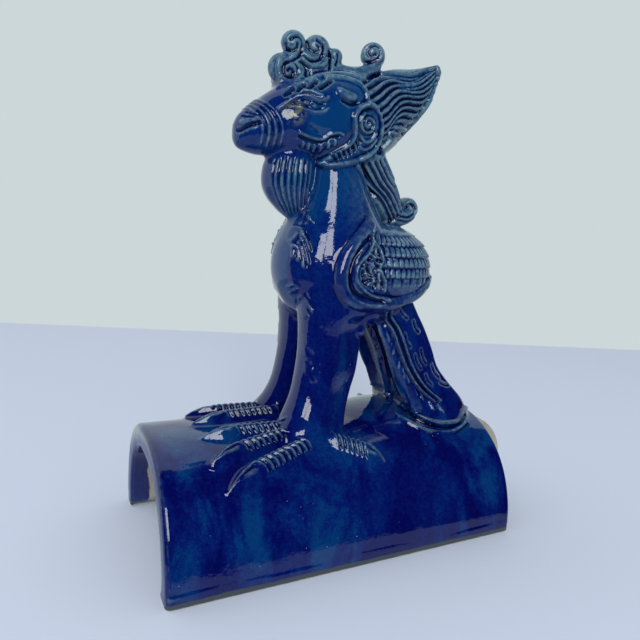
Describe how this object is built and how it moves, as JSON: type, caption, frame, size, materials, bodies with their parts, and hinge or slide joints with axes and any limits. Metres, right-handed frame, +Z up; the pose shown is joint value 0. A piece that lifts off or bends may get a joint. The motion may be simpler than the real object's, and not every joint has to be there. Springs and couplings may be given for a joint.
{
  "type": "ridge beast ornament",
  "caption": "Glazed ceramic phoenix with a curled crest and swept-back hair, standing on a half-round ridge tile with a spigot.",
  "frame": {"origin": "middle of the whole piece seen from above, spigot included, on the ground that the tile's two long lower edges stand on", "axes": "+Z up; -Y the way the bird faces, along the ridge; +Y towards the spigot; +X the bird's left side"},
  "size_m": [0.101, 0.1826, 0.2289],
  "materials": {
    "glaze": "deep cobalt blue gloss glaze, mottled, darker where it pools and paler on raised edges"
  },
  "bodies": {
    "root": {"phoenix_ridge_tile": "glaze"}
  },
  "joints": []
}
